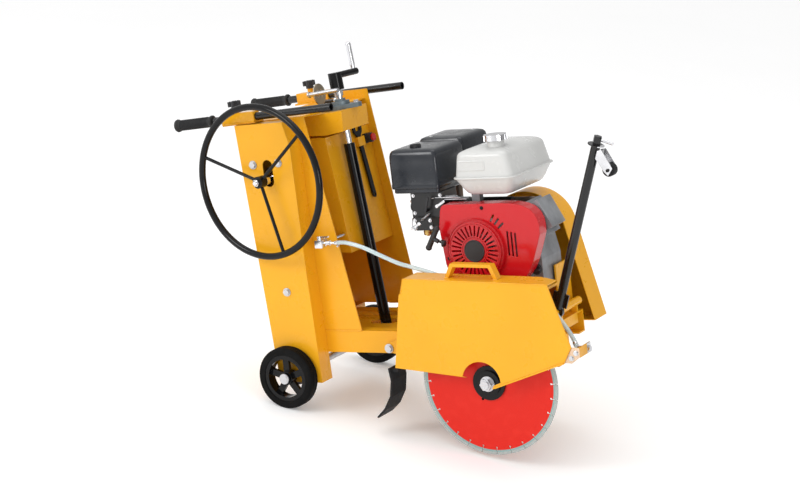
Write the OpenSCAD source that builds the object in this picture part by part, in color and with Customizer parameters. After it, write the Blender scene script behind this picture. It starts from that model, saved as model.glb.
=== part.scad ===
// Walk-behind concrete saw, parked on its four wheels with the blade just clear of the floor.
// Working frame: X forward along the chassis, Y to the machine's left, Z square to the chassis,
// zero at the centre of the rear axle. place() tips that frame nose-up and stands it on the floor.

/* [Blade] */
// Diameter of the diamond blade
blade_d = 457; // [400:1:457]
// Thickness of the blade's steel core
blade_core = 3; // [2:0.2:4]
// Number of diamond segments round the rim
blade_segments = 28; // [16:1:32]

/* [Wheels] */
// Diameter of the rear tyres
rear_wheel_d = 200; // [190:1:200]
// Width of the rear tyres
rear_tyre_w = 43; // [36:1:44]
// Diameter of the front tyres
front_wheel_d = 150; // [130:1:156]
// Diameter of the push handwheel, over its rim
handwheel_d = 500; // [440:1:520]

/* [Handles] */
// Diameter of the handle tubes
handle_d = 25; // [22:0.5:26]
// Distance of each handle from the centre plane
handle_y = 228; // [226:1:230]
// Length of each handle tube with its grip
handle_len = 590; // [540:1:620]

/* [Sheet metal] */
// Thickness of the column's sheet
sheet = 4; // [3:0.5:4.5]
// Width of the blade guard across the blade
guard_w = 95; // [92:1:98]
// Diameter of the water hose
hose_d = 13; // [10:0.5:14]

/* [Hidden] */
$fn = 48;

// Stance: nose-up angle of the chassis, and the shift of the frame onto the origin
pitch = 12.5;
origin_x = -242;
origin_y = 14.5;
rear_r = rear_wheel_d / 2;
front_r = front_wheel_d / 2;

// Main stations of the working frame
blade_x = 707;
blade_z = -10;
blade_y = -250;
blade_r = blade_d / 2;
rail_z0 = 62;
rail_z1 = 133;
floor_z = 118;
rail_near = -195;
rail_far = 122;
rail_w = 44;
rail_x0 = -45;
rail_x1 = 866;
wall_y = 195;
cover_y = 257;
run_gap = 0.05;
skin_gap = 0.4;

// Rear wheels and axle
rear_y = 284;
axle_r = 12.5;
axle_half = 314;
sprocket_y = -226;
sprocket_r = 28;
chain_gap = 3;
chain_t = 8;

// Depth gear: the arm swings about pivot, the tube runs along the leaning screw axis
pivot_x = 380;
pivot_z = 20;
arm_dx = 140;
arm_dz = (front_r - rear_r - (pivot_x + arm_dx) * sin(pitch)) / cos(pitch) - pivot_z;
arm_y = 51;
front_y = 85;
front_w = 36;
lever_x = 222;
lever_z = 70;
screw_x = 214;
screw_z = 132;
screw_lean = 6;
screw_r = 11;
tube_r = 18;
front_axle_r = 10;

// Console on top of the tank, and the bearing's seat along the screw axis
console_y0 = -84;
console_y1 = 76;
console_x0 = 45;
console_x1 = 190;
seat_t = 689;
lock_x = -74;
lock_y = -31;
lock_t = 753;

// Water tank: near side, and its front face, which leans back
tank_y = -84;
face_x = 118;
face_z = 738;
face_lean = 7.6;
cock_x = 148;
filler_x = 10;

// Handwheel shaft: it leans towards the operator by hand_turn
hand_x = 1;
hand_z = 638;
hand_turn = 7.3;
hand_r = 10;
handwheel_off = 45;
hand_in_x = hand_x + 8;
rim_r = 11;

// Handles rise towards the front
handle_x = -345;
handle_z = 817;
handle_rise = 3.7;
sleeve_x0 = 188;
sleeve_len = 122;
knob_at = 236;

// Engine: crank axis, and the middle of the fuel tank
crank_x = 638;
crank_z = 375;
recoil_y = -130;
cap_x = 700;
cap_y = -34;
bed_z = 243;
pulley_y0 = 150;
pulley_y1 = 188;
drive_r = 50;
driven_r = 38;

// Guide pole: hinge on the cross tube
pole_x = 866;
pole_y = -60;
pole_z = 168;
pole_lean = 19.5;
pole_len = 562;
pole_r = 14;

// Guard and its hinge bolt on the near rail
hinge_x = 339;
hinge_z = 80;
guard_y0 = -300;
guard_y1 = guard_y0 + guard_w;
skin = 3;

// Water hose: points chosen by hand, from the cock over the guard's inner side to the spray block
hose_route = [
    [204, -236, 427], [243, -238, 428], [300, -236, 413], [359, -230, 385], [412, -219, 358],
    [455, -205, 341], [500, -195, 325], [560, -195, 308], [640, -196, 298], [720, -196, 292],
    [800, -196, 280], [868, -196, 246], [915, -196, 207], [945, -196, 168], [968, -199, 136],
    [986, -210, 113], [998, -226, 100]
];

yellow = [0.96, 0.70, 0.10];
black = [0.06, 0.06, 0.07];
steel = [0.72, 0.73, 0.75];
castgrey = [0.55, 0.57, 0.60];
red = [0.78, 0.07, 0.10];
rubber = [0.12, 0.12, 0.13];

// ---- placing and small builders ----

module place() {
    translate([origin_x, origin_y, rear_r]) rotate([0, -pitch, 0]) children();
}

// A side-view outline drawn in X and Z, as thick as from y0 to y1
module side_plate(outline, y0, y1) {
    translate([0, y1, 0]) rotate([90, 0, 0]) linear_extrude(y1 - y0) polygon(outline);
}

module rod_y(x, z, r, y0, y1) {
    translate([x, y1, z]) rotate([90, 0, 0]) cylinder(r = r, h = y1 - y0);
}

module ring_y(x, z, r_out, r_in, y0, y1) {
    difference() {
        rod_y(x, z, r_out, y0, y1);
        rod_y(x, z, r_in, y0 - 1, y1 + 1);
    }
}

module rod_x(x0, x1, y, z, r) {
    translate([x0, y, z]) rotate([0, 90, 0]) cylinder(r = r, h = x1 - x0);
}

module block(low, high) {
    translate(low) cube(high - low);
}

// Local Z runs up the leaning screw axis, zero at its station near the floor plate
module on_screw() {
    translate([screw_x, 0, screw_z]) rotate([0, -screw_lean, 0]) children();
}

// Local X runs along a handle, zero at the rear end of its grip
module on_handle(side) {
    translate([handle_x, side * handle_y, handle_z]) rotate([0, -handle_rise, 0]) children();
}

// Local Z runs out along the handwheel's shaft, away from the column
module on_hand() {
    translate([hand_x, -cover_y, hand_z]) rotate([0, 0, -hand_turn]) rotate([90, 0, 0]) children();
}

// Local Z runs up the tank's front face from its top edge, local X stands out from the face
module on_face() {
    translate([face_x, 0, face_z]) rotate([0, -face_lean, 0]) children();
}

// Local Z runs up the guide pole from its hinge
module on_pole() {
    translate([pole_x, pole_y, pole_z]) rotate([0, pole_lean, 0]) children();
}

module hex_bolt(r, h) {
    cylinder(r = r, h = h, $fn = 6);
    cylinder(r = r * 1.25, h = h * 0.25, $fn = 32);
}

function arc(cx, cz, r, a0, a1, n) = [for (i = [0:n])
    [cx + r * cos(a0 + (a1 - a0) * i / n), cz + r * sin(a0 + (a1 - a0) * i / n)]];

// ---- chassis ----

module channel_rail(y_out, y_in) {
    dir = y_in > y_out ? 1 : -1;
    y0 = min(y_out, y_in);
    y1 = max(y_out, y_in);
    difference() {
        block([rail_x0, y0, rail_z0], [rail_x1, y1, rail_z1]);
        translate([0, dir * 5, 0]) block([rail_x0 - 1, y0, rail_z0 + 5], [rail_x1 + 1, y1, rail_z1 - 5]);
    }
}

module ear(y) {
    difference() {
        side_plate([[pivot_x - 34, floor_z - 4], [pivot_x - 24, pivot_z - 12], [pivot_x, pivot_z - 24],
            [pivot_x + 24, pivot_z - 12], [pivot_x + 34, floor_z - 4]], y - 4, y + 4);
        rod_y(pivot_x, pivot_z, axle_r + run_gap, y - 5, y + 5);
    }
}

module chassis_frame() color(yellow) place() {
    channel_rail(rail_near, rail_near + rail_w);
    channel_rail(rail_far, rail_far - rail_w);
    difference() {
        block([rail_x0, rail_near + rail_w, floor_z - 4], [rail_x1 - 40, rail_far - rail_w, floor_z]);
        translate([0, 0, floor_z - 6]) linear_extrude(8) {
            for (s = [-1, 1]) translate([screw_x + 2 + s * 18, 0]) circle(r = 36);
            translate([screw_x + 2 - 18, -36]) square([36, 72]);
        }
    }
    block([rail_x1 - 40, rail_near + rail_w, 100], [rail_x1, rail_far - rail_w, rail_z1]);
    block([-25, rail_near + rail_w, rail_z0], [25, rail_far - rail_w, floor_z - 4]);
    block([-25, rail_far, rail_z0], [25, wall_y, rail_z1]);
    block([190, rail_far, rail_z0 + 30], [236, wall_y, rail_z1]);
    for (s = [-1, 1]) ear(s * 70);
    difference() {
        union() {
            rod_y(pole_x, pole_z, 13, -42, 95);
            for (y = [-30, 82])
                side_plate([[844, rail_z1 - 1], [866, rail_z1 - 1], [866, pole_z], [850, pole_z]], y - 4, y + 4);
        }
        rod_y(pole_x, pole_z, 9, -18, 96);
    }
    rod_y(pole_x, pole_z, 8, -84, -40);
}

module engine_bed() color(yellow) place() {
    block([470, -125, bed_z - 8], [838, 118, bed_z]);
    for (y = [-125, 110]) block([480, y, y < 0 ? floor_z : rail_z1], [820, y + 8, bed_z - 8]);
    difference() {
        block([832, 14, rail_z1 + 1], [838, 114, 298]);
        block([831, 44, 212], [839, 56, 244]);
        rod_x(831, 839, 50, 212, 6);
        rod_x(831, 839, 50, 244, 6);
    }
}

// ---- rear column ----

column_rear_top = [-105, 813];
column_rear_low = [-61, rail_z1];
column_front_top = [116, 827];
column_front_low = [240, rail_z1];

module column_side(y0, y1, raised) {
    outline = raised
        ? [column_rear_low, column_front_low, [129, 856], [32, 852], [22, 821], column_rear_top]
        : [column_rear_low, column_front_low, column_front_top, column_rear_top];
    side_plate(outline, y0, y1);
}

// A square sleeve that holds a handle tube, with a foot on the column's top and a nut for its knob
module sleeve(side) {
    half = 18;
    foot = -19.2;
    on_handle(side) difference() {
        union() {
            translate([sleeve_x0, -half, foot]) cube([sleeve_len, 2 * half, 37]);
            translate([sleeve_x0, side > 0 ? -36 : 16, foot]) cube([sleeve_len, 20, 5]);
            translate([knob_at, 0, 17]) cylinder(r = 11, h = 13, $fn = 6);
        }
        translate([sleeve_x0 - 1, 0, 0]) rotate([0, 90, 0]) cylinder(r = handle_d / 2 + run_gap, h = sleeve_len + 2);
        translate([knob_at, 0, 10]) cylinder(r = 6 + run_gap, h = 30);
    }
}

module rear_column() color(yellow) place() {
    difference() {
        column_side(-wall_y, -wall_y + sheet, false);
        rod_y(hand_in_x, hand_z, 27, -wall_y - 1, -wall_y + sheet + 1);
        rod_y(cock_x, 424, 9, -wall_y - 1, -wall_y + sheet + 1);
    }
    column_side(wall_y - sheet, wall_y, true);
    side_plate([column_rear_low, column_rear_low + [sheet, 0], column_rear_top + [sheet, 0], column_rear_top],
        -wall_y + sheet, wall_y - sheet);
    difference() {
        side_plate([column_rear_top + [sheet, 0], [116, 827], [116, 822], column_rear_top + [sheet, -5]],
            -wall_y + sheet, wall_y - sheet);
        translate([filler_x, 120, 780]) cylinder(r = 26, h = 60);
        block([console_x0 - skin_gap, console_y0 - skin_gap, 790], [130, console_y1 + skin_gap, 840]);
    }
    sleeve(-1);
    sleeve(1);
}

// The tank hangs between the far wall and the slot for the hand drive; the spanner's strap is on its face
module water_tank() color(yellow) place() {
    y1 = wall_y - sheet - skin_gap;
    difference() {
        side_plate([[-69, 363], [168, 363], [face_x, face_z], [-88, face_z]], tank_y, y1);
        side_plate([[-66, 366], [164.5, 366], [face_x - 3.5, face_z - 3], [-85, face_z - 3]], tank_y + 3, y1 - 3);
        translate([filler_x, 120, 730]) cylinder(r = 22, h = 12);
        rod_y(cock_x, 424, 5.9, tank_y - 1, tank_y + 4);
    }
    difference() {
        translate([filler_x, 120, 735]) cylinder(r = 25, h = 88);
        translate([filler_x, 120, 734]) cylinder(r = 22, h = 90);
    }
    on_face() difference() {
        translate([0, 88, -60]) cube([14, 42, 30]);
        translate([3, 95, -61]) cube([8, 28, 32]);
    }
}

module chain_cover() color(yellow) place() {
    outline = [[-51, -24], [109, -24], [98, 345], [93, 740], [72, 818], column_rear_top, [-61, 133]];
    cavity = [[-48, -30], [106, -30], [95, 345], [90, 740], [69, 812], [-101, 808], [-58, 133]];
    difference() {
        side_plate(outline, -cover_y, -wall_y);
        side_plate(cavity, -cover_y + 3, -wall_y - 3);
        rod_y(0, 0, 17, -cover_y - 1, -wall_y + 1);
        rod_y(hand_in_x, hand_z, 25, -wall_y - 4, -wall_y + 1);
        translate([0, -cover_y + 4, 0]) rotate([90, 0, 0]) linear_extrude(6) {
            for (z = [hand_z - 6, hand_z + 44]) translate([hand_x, z]) circle(r = 18);
            translate([hand_x - 18, hand_z - 6]) square([36, 50]);
        }
    }
}

// Height of the console's top, square to the leaning screw
function console_z(x) = screw_z + seat_t * cos(screw_lean)
    + (x - screw_x + seat_t * sin(screw_lean)) * tan(screw_lean);

module top_console() color(yellow) place() {
    x0 = console_x0;
    x1 = console_x1;
    difference() {
        side_plate([[x0, console_z(x0)], [x1, console_z(x1)], [x1, 757], [x1 - 6, 755], [122, 745], [x0, 745]],
            console_y0, console_y1);
        side_plate([[x0 + 3, console_z(x0) - 3.2], [x1 - 3, console_z(x1) - 3.2], [x1 - 3, 740], [x0 + 3, 740]],
            console_y0 + 3, console_y1 - 3);
        on_screw() translate([0, 0, 600]) cylinder(r = 20, h = 120);
    }
}

// ---- depth screw at the top ----

module screw_bearing() color(castgrey) place() on_screw() translate([0, 0, seat_t]) {
    difference() {
        union() {
            linear_extrude(14) {
                circle(r = 40);
                for (s = [-1, 1]) translate([s * 58, 0]) circle(r = 17);
                for (m = [0, 1]) mirror([0, m]) polygon([[-64, 0], [-62, 16], [-16, 37], [16, 37], [62, 16], [64, 0]]);
            }
            cylinder(r = 30, h = 26);
        }
        translate([0, 0, -1]) cylinder(r = 13, h = 28);
        for (s = [-1, 1]) translate([s * 58, 0, -1]) cylinder(r = 5.5, h = 16);
    }
    difference() {
        translate([0, 0, 26]) cylinder(r = 18, h = 8);
        translate([0, 0, 25]) cylinder(r = screw_r + run_gap, h = 10);
    }
}

module lead_screw() color(steel) place() on_screw() {
    translate([0, 0, 470]) cylinder(r = screw_r, h = 329);
    translate([0, 0, 732]) cylinder(r = 15, h = 14);
}

module crank_arm() color(castgrey) place() on_screw() {
    difference() {
        union() {
            translate([0, 0, 752]) cylinder(r = 22, h = 56);
            rotate([0, 0, 77]) translate([0, 0, 797]) rotate([0, 90, 0]) cylinder(r = 10.5, h = 102);
        }
        translate([0, 0, 751]) cylinder(r = screw_r, h = 48);
        rotate([0, 0, 77]) translate([88, 0, 780]) cylinder(r = 5 + run_gap, h = 40);
    }
}

module crank_grip() color(steel) place() on_screw() rotate([0, 0, 77]) {
    translate([88, 0, 786]) cylinder(r = 5, h = 25);
    translate([88, 0, 808]) cylinder(r1 = 7.5, r2 = 9, h = 12);
    translate([88, 0, 820]) cylinder(r = 9, h = 66);
    translate([88, 0, 886]) sphere(r = 9);
}

// Pierced disc on a stand over the bearing's rear bolt; the pull pin runs through it beside the crank hub
module lock_disc() color([0.62, 0.55, 0.42]) place() on_screw() {
    difference() {
        union() {
            translate([lock_x, 0, 748]) rotate([0, 90, 0]) cylinder(r = 35, h = 4);
            translate([lock_x, -13, seat_t + 14]) cube([4, 26, 34]);
            translate([lock_x, -16, seat_t + 14]) cube([26, 32, 4]);
        }
        translate([-58, 0, seat_t]) cylinder(r = 5.5, h = 30);
        translate([lock_x - 1, lock_y, lock_t]) rotate([0, 90, 0]) cylinder(r = 7 + run_gap, h = 6);
        for (a = [45:90:315]) translate([lock_x - 1, 15 * cos(a), 752 + 15 * sin(a)])
            rotate([0, 90, 0]) cylinder(r = 3, h = 6);
    }
}

module lock_pin() color(steel) place() on_screw() translate([lock_x, lock_y, lock_t]) rotate([0, 90, 0]) {
    translate([0, 0, -14]) cylinder(r = 7, h = 108);
    translate([0, 0, -20]) cylinder(r = 10, h = 6);
    translate([0, 0, 18]) cylinder(r = 8.5, h = 3);
}

module depth_tube() color(black) place() on_screw() {
    difference() {
        translate([0, 0, -28]) cylinder(r = tube_r, h = 605);
        translate([0, 0, 20]) cylinder(r = screw_r + 0.5, h = 570);
    }
    difference() {
        translate([-34, -6, -84]) cube([60, 12, 58]);
        for (x = [-20, 12]) translate([x, 7, -62]) rotate([90, 0, 0]) cylinder(r = 10.5, h = 14);
        translate([-20, -7, -72.5]) cube([32, 14, 21]);
    }
}

module depth_arm() color(black) place() {
    ring_y(pivot_x, pivot_z, 20, axle_r + run_gap, -65, 65);
    for (s = [-1, 1]) difference() {
        side_plate([[pivot_x - 12, pivot_z - 16], [pivot_x + arm_dx - 17, pivot_z + arm_dz - 12],
            [pivot_x + arm_dx + 5, pivot_z + arm_dz - 17], [pivot_x + arm_dx + 16, pivot_z + arm_dz + 10],
            [pivot_x + 22, pivot_z + 12]], s * arm_y - 5, s * arm_y + 5);
        rod_y(pivot_x, pivot_z, 19, s * arm_y - 6, s * arm_y + 6);
        rod_y(pivot_x + arm_dx, pivot_z + arm_dz, front_axle_r + run_gap, s * arm_y - 6, s * arm_y + 6);
    }
    for (s = [-1, 1]) difference() {
        side_plate([[lever_x - 16, lever_z - 8], [lever_x - 8, lever_z + 15], [lever_x + 14, lever_z + 14],
            [pivot_x - 4, pivot_z + 20], [pivot_x - 14, pivot_z - 16], [lever_x, lever_z - 16]],
            s * 13 - 4, s * 13 + 4);
        rod_y(pivot_x, pivot_z, 19, s * 13 - 5, s * 13 + 5);
    }
    rod_y(lever_x, lever_z, 8, -22, 22);
    block([pivot_x + 60, -46, pivot_z - 92], [pivot_x + 72, 46, pivot_z - 62]);
}

// ---- wheels ----

// Spoked rim of a wheel, its axis along Y, centred on y
module rim(x, y, z, r, bore, w, spokes) {
    translate([x, y, z]) rotate([90, 0, 0]) difference() {
        union() {
            difference() {
                cylinder(r = r, h = w, center = true, $fn = 72);
                cylinder(r = r * 0.82, h = w + 2, center = true, $fn = 72);
            }
            cylinder(r = bore + 10, h = w * 0.86, center = true);
            for (i = [0:spokes - 1]) rotate([0, 0, 90 + i * 360 / spokes])
                translate([bore + 4, -r * 0.14, -w * 0.16]) cube([r * 0.86 - bore - 4, r * 0.28, w * 0.32]);
        }
        cylinder(r = bore, h = w + 4, center = true);
    }
}

// Round-shouldered tyre, its axis along Y
module tyre(x, y, z, r_out, r_in, w) {
    s = 9;
    translate([x, y, z]) rotate([90, 0, 0]) rotate_extrude($fn = 96) difference() {
        union() {
            translate([r_in, -w / 2]) square([r_out - r_in - s, w]);
            translate([r_in, -w / 2 + s]) square([r_out - r_in, w - 2 * s]);
            for (m = [-1, 1]) translate([r_out - s, m * (w / 2 - s)]) circle(r = s, $fn = 32);
        }
        for (m = [-1, 1]) translate([r_out, m * w * 0.18]) square([3, 2.4], center = true);
    }
}

module rear_rims() color(black) place() {
    for (s = [-1, 1]) rim(0, s * rear_y, 0, rear_r * 0.76, axle_r, rear_tyre_w - 5, 5);
}

module rear_tyres() color(rubber) place() {
    for (s = [-1, 1]) tyre(0, s * rear_y, 0, rear_r, rear_r * 0.76, rear_tyre_w);
}

module rear_axle() color(steel) place() {
    rod_y(0, 0, axle_r, -axle_half, axle_half);
    for (s = [-1, 1]) rod_y(0, 0, 17, s * (rear_y + 25) - 2.5, s * (rear_y + 25) + 2.5);
    sprocket(0, 0, sprocket_y);
}

// A small toothed chain wheel on a Y axis
module sprocket(x, z, y) {
    translate([x, y, z]) rotate([90, 0, 0]) {
        cylinder(r = sprocket_r - 5, h = 5, center = true);
        cylinder(r = 18, h = 22, center = true);
        for (i = [0:14]) rotate([0, 0, i * 24]) translate([sprocket_r - 7, -2, -2.5]) cube([7, 4, 5]);
    }
}

module front_rims() color(black) place() {
    x = pivot_x + arm_dx;
    z = pivot_z + arm_dz;
    for (s = [-1, 1]) rim(x, s * front_y, z, front_r * 0.72, front_axle_r, front_w - 4, 5);
    rod_y(x, z, front_axle_r, -front_y - 24, front_y + 24);
}

module front_tyres() color(rubber) place() {
    for (s = [-1, 1]) tyre(pivot_x + arm_dx, s * front_y, pivot_z + arm_dz, front_r, front_r * 0.72, front_w);
}

// Chain loop standing just clear of both chain wheels
module drive_chain() color([0.25, 0.24, 0.23]) place() {
    r_in = sprocket_r + chain_gap;
    r_out = r_in + chain_t;
    outer = concat(arc(0, 0, r_out, 180, 360, 24), arc(hand_x + 4, hand_z, r_out, 0, 180, 24));
    inner = concat(arc(0, 0, r_in, 180, 360, 24), arc(hand_x + 4, hand_z, r_in, 0, 180, 24));
    difference() {
        side_plate(outer, sprocket_y - 6, sprocket_y + 6);
        side_plate(inner, sprocket_y - 7, sprocket_y + 7);
    }
}

module hand_shaft() color(steel) place() {
    on_hand() {
        translate([0, 0, -82]) cylinder(r = hand_r, h = 94 + handwheel_off);
        translate([0, 0, handwheel_off + 12]) cylinder(r = 12, h = 9, $fn = 6);
        translate([0, 0, handwheel_off + 21]) sphere(r = 9);
        translate([0, 0, 10]) cylinder(r = 15, h = 14);
    }
    on_hand() translate([0, 0, -31]) {
        cylinder(r = sprocket_r - 5, h = 5, center = true);
        for (i = [0:14]) rotate([0, 0, i * 24]) translate([sprocket_r - 7, -2, -2.5]) cube([7, 4, 5]);
    }
}

module handwheel() color(black) place() on_hand() translate([0, 0, handwheel_off]) {
    rim_c = handwheel_d / 2 - rim_r;
    rotate_extrude($fn = 96) translate([rim_c, 0]) circle(r = rim_r, $fn = 32);
    difference() {
        translate([0, 0, -16]) cylinder(r = 19, h = 28);
        translate([0, 0, -17]) cylinder(r = hand_r, h = 30);
    }
    for (a = [160, 40, 285]) rotate([0, 0, a]) translate([17, 0, -2]) rotate([0, 90, 0])
        cylinder(r = 5.5, h = rim_c - 20);
}

module hand_bearing() color(castgrey) place() {
    difference() {
        union() {
            rod_y(hand_in_x, hand_z, 32, -wall_y + sheet, -wall_y + sheet + 9);
            rod_y(hand_in_x, hand_z, 22, -wall_y - 8, -wall_y + sheet);
        }
        on_hand() translate([0, 0, -90]) cylinder(r = hand_r + run_gap, h = 60);
        for (a = [45:90:315]) rod_y(hand_in_x + 26 * cos(a), hand_z + 26 * sin(a), 3, -wall_y, -150);
    }
}

// A hanging bearing block under a rail: axis along Y at x, z
module pillow(x, y, z, top, bore) {
    difference() {
        union() {
            rod_y(x, z, bore + 22, y - 15, y + 15);
            block([x - bore - 22, y - 15, z], [x + bore + 22, y + 15, top - 10]);
            block([x - 70, y - 20, top - 12], [x + 70, y + 20, top]);
        }
        rod_y(x, z, bore + run_gap, y - 21, y + 21);
        for (s = [-1, 1]) translate([x + s * 56, y, top - 13]) cylinder(r = 5.5, h = 14);
    }
}

module pillow_blocks() color(castgrey) place() {
    for (y = [rail_near + 22, wall_y - 22]) pillow(0, y, 0, rail_z0, axle_r);
    for (y = [rail_near + 22, rail_far - 22]) pillow(blade_x, y, blade_z, rail_z0, 15);
    rod_y(pivot_x, pivot_z, axle_r, -82, 82);
    for (s = [-1, 1]) rod_y(pivot_x, pivot_z, 17, s * 80 - 4, s * 80 + 4);
}

// ---- blade and its drive ----

module blade() color([0.86, 0.14, 0.10]) place() translate([blade_x, blade_y, blade_z]) rotate([90, 0, 0]) {
    core_r = blade_r - 9;
    step = 360 / blade_segments;
    difference() {
        cylinder(r = core_r, h = blade_core, center = true, $fn = 168);
        cylinder(r = 12.7, h = blade_core + 2, center = true);
        for (i = [0:blade_segments - 1]) rotate([0, 0, i * step]) {
            translate([core_r - 12, -1.4, -5]) cube([30, 2.8, 10]);
            translate([core_r - 13, 0, 0]) cylinder(r = 3.2, h = 10, center = true, $fn = 20);
        }
        for (a = [60, 240]) rotate([0, 0, a]) translate([60, 0, 0]) cylinder(r = 5, h = 10, center = true);
    }
    for (i = [0:blade_segments - 1]) rotate([0, 0, (i + 0.5) * step]) intersection() {
        difference() {
            cylinder(r = blade_r, h = blade_core + 0.8, center = true, $fn = 168);
            cylinder(r = core_r - 0.5, h = blade_core + 2, center = true, $fn = 168);
        }
        translate([core_r - 3, -blade_r * sin(step / 2) + 1.6, -5])
            cube([20, 2 * blade_r * sin(step / 2) - 3.2, 10]);
    }
}

module blade_flanges() color(black) place() {
    for (s = [-1, 1]) {
        y = blade_y + s * blade_core / 2;
        difference() {
            union() {
                rod_y(blade_x, blade_z, 54, min(y, y + s * 7), max(y, y + s * 7));
                rod_y(blade_x, blade_z, 40, min(y, y + s * 14), max(y, y + s * 14));
            }
            rod_y(blade_x, blade_z, 12.7, blade_y - 40, blade_y + 40);
        }
    }
}

module arbor_nut() color(steel) place() translate([blade_x, blade_y - blade_core / 2 - 14, blade_z])
    rotate([90, 0, 0]) difference() {
        union() {
            cylinder(r = 24, h = 3);
            translate([0, 0, 3]) cylinder(r = 20, h = 14, $fn = 6);
        }
        translate([0, 0, -1]) cylinder(r = 12.7, h = 20);
    }

module arbor_shaft() color(steel) place() {
    rod_y(blade_x, blade_z, 12.7, -288, -230);
    rod_y(blade_x, blade_z, 15, -234.4, 196);
}

module pulley(x, z, r, bore) {
    difference() {
        union() {
            rod_y(x, z, r - 8, pulley_y0, pulley_y1);
            for (y = [pulley_y0, pulley_y0 + 16.5, pulley_y0 + 33]) rod_y(x, z, r, y, y + 5);
        }
        rod_y(x, z, bore, pulley_y0 - 1, pulley_y1 + 1);
    }
}

module driven_pulley() color(castgrey) place() pulley(blade_x, blade_z, driven_r, 15);

module drive_pulley() color(castgrey) place() {
    pulley(crank_x, crank_z, drive_r, 12.7);
    rod_y(crank_x, crank_z, 12.7, 112, 194);
}

// Two belts; they stand just clear of the pulley grooves
module drive_belts() color(rubber) place() {
    dx = blade_x - crank_x;
    dz = blade_z - crank_z;
    lie = atan2(dz, dx);
    span = norm([dx, dz]);
    lap = asin((drive_r - driven_r) / span);
    r0 = drive_r - 7;
    r1 = driven_r - 7;
    for (y = [pulley_y0 + 5.6, pulley_y0 + 22.1]) difference() {
        side_plate(concat(arc(crank_x, crank_z, r0 + 8, lie + 90 - lap, lie + 270 + lap, 30),
            arc(blade_x, blade_z, r1 + 8, lie - 90 + lap, lie + 90 - lap, 30)), y, y + 10.3);
        side_plate(concat(arc(crank_x, crank_z, r0, lie + 90 - lap, lie + 270 + lap, 30),
            arc(blade_x, blade_z, r1, lie - 90 + lap, lie + 90 - lap, 30)), y - 1, y + 12);
    }
}

function belt_outline(g) = concat([[652 + g, -60 + g], [762 - g, -60 + g], [762 - g, 95 + g], [903 - g, 95 + g]],
    arc(697, 378, 134 - g, 12, 172, 28), [[594 + g, 240]]);

module belt_cover() color(yellow) place() {
    difference() {
        side_plate(belt_outline(0), 125, 215);
        side_plate(belt_outline(3), 120, 212);
    }
}

// ---- guard ----

guard_side = concat([[469, 325], [456, 278], [450, 276], [409, 43], [655, 18]],
    arc(704, 2, 66, 163, 2, 14),
    [[744, -6], [741, -16], [752, -14], [985, 66], [1015, 118], [956, 307]]);
guard_back = [[469, 325], [456, 278], [450, 276], [409, 43], [625, 24], [625, 70], [789, 70], [789, 24],
    [928, 60], [946, 110], [898, 310]];

module blade_guard() color(yellow) place() {
    side_plate(guard_side, guard_y0, guard_y0 + skin);
    difference() {
        side_plate(guard_back, guard_y1 - skin, guard_y1);
        rod_y(blade_x, blade_z, 62, guard_y1 - skin - 1, guard_y1 + 1);
    }
    difference() {
        side_plate([[469, 325], [956, 307], [956, 303.5], [469, 321.5]], guard_y0 + skin, guard_y1 - skin);
        translate([905, guard_y1, 280]) rotate([0, 0, -30]) cube([90, 60, 60]);
    }
    side_plate([[469, 325], [456, 278], [450, 276], [409, 43], [412.5, 43], [453.5, 274], [459, 276], [472, 323]],
        guard_y0 + skin, guard_y1 - skin);
    side_plate([[409, 43], [440, 40], [440, 43], [412, 46]], guard_y0 + skin, guard_y1 - skin);
    side_plate([[741, -16], [752, -14], [985, 66], [985, 71], [752, -9], [742, -11]], guard_y0 - 3, guard_y0);
    difference() {
        side_plate([[hinge_x - 14, hinge_z - 10], [hinge_x - 6, hinge_z + 14], [480, 150], [480, 90], [411, 55],
            [hinge_x + 6, hinge_z - 15]], guard_y1, guard_y1 + 5);
        rod_y(hinge_x, hinge_z, 6 + run_gap, guard_y1 - 1, guard_y1 + 6);
    }
}

module guard_handle() color(yellow) place() {
    y0 = -262;
    side_plate([[596, 320.6], [608, 320.1], [627, 353.5], [747, 350], [762, 314.5], [775, 314],
        [756, 360], [618, 364]], y0, y0 + 28);
}

// Bent bracket on the guard's front corner, with its bolts and the elbow that the hose pushes onto
module spray_block() place() {
    color(yellow) side_plate([[984, 116], [1040, 116], [1040, 88], [1012, 68], [984, 70]], guard_y0 + 3, guard_y0 + 7);
    color(yellow) block([1036, guard_y0 + 7, 86], [1040, -216, 116]);
    color(steel) rod_x(1006, 1036, -232, 98, 8);
    color(steel) rod_x(1040, 1047, -232, 98, 9);
    color(steel) for (p = [[1012, 84], [1028, 100]])
        translate([p[0], guard_y0 + 3, p[1]]) rotate([90, 0, 0]) hex_bolt(6.5, 6);
}

module mud_flap() color(rubber) place() {
    side_plate([[381, 40], [386, 0], [377, -50], [352, -90], [322, -118], [326, -122], [358, -94],
        [383, -52], [392, 0], [387, 40]], guard_y0 + 1, -206);
    side_plate([[387, 26], [409, 26], [409, 36], [387, 36]], guard_y0 + 12, -214);
}

// ---- water ----

module water_cock() color([0.80, 0.78, 0.72]) place() {
    rod_y(cock_x, 424, 5.9, -226, tank_y + 3);
    rod_y(cock_x, 424, 13, -208, -wall_y);
    rod_x(cock_x + 12, 203.9, -236, 427, 5);
    rod_x(cock_x + 26, cock_x + 38, -236, 427, 8);
    difference() {
        union() {
            translate([cock_x, -236, 424]) cube([26, 22, 24], center = true);
            translate([cock_x, -236, 430]) cylinder(r = 8, h = 14);
        }
        translate([cock_x, -236, 436]) cylinder(r = 4 + run_gap, h = 12);
    }
}

module cock_lever() color(steel) place() translate([cock_x, -236, 0]) {
    translate([0, 0, 437]) cylinder(r = 4, h = 12);
    translate([0, 0, 444.4]) cylinder(r = 8, h = 4.6);
    translate([4, -4.5, 445]) cube([30, 9, 4]);
}

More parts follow.
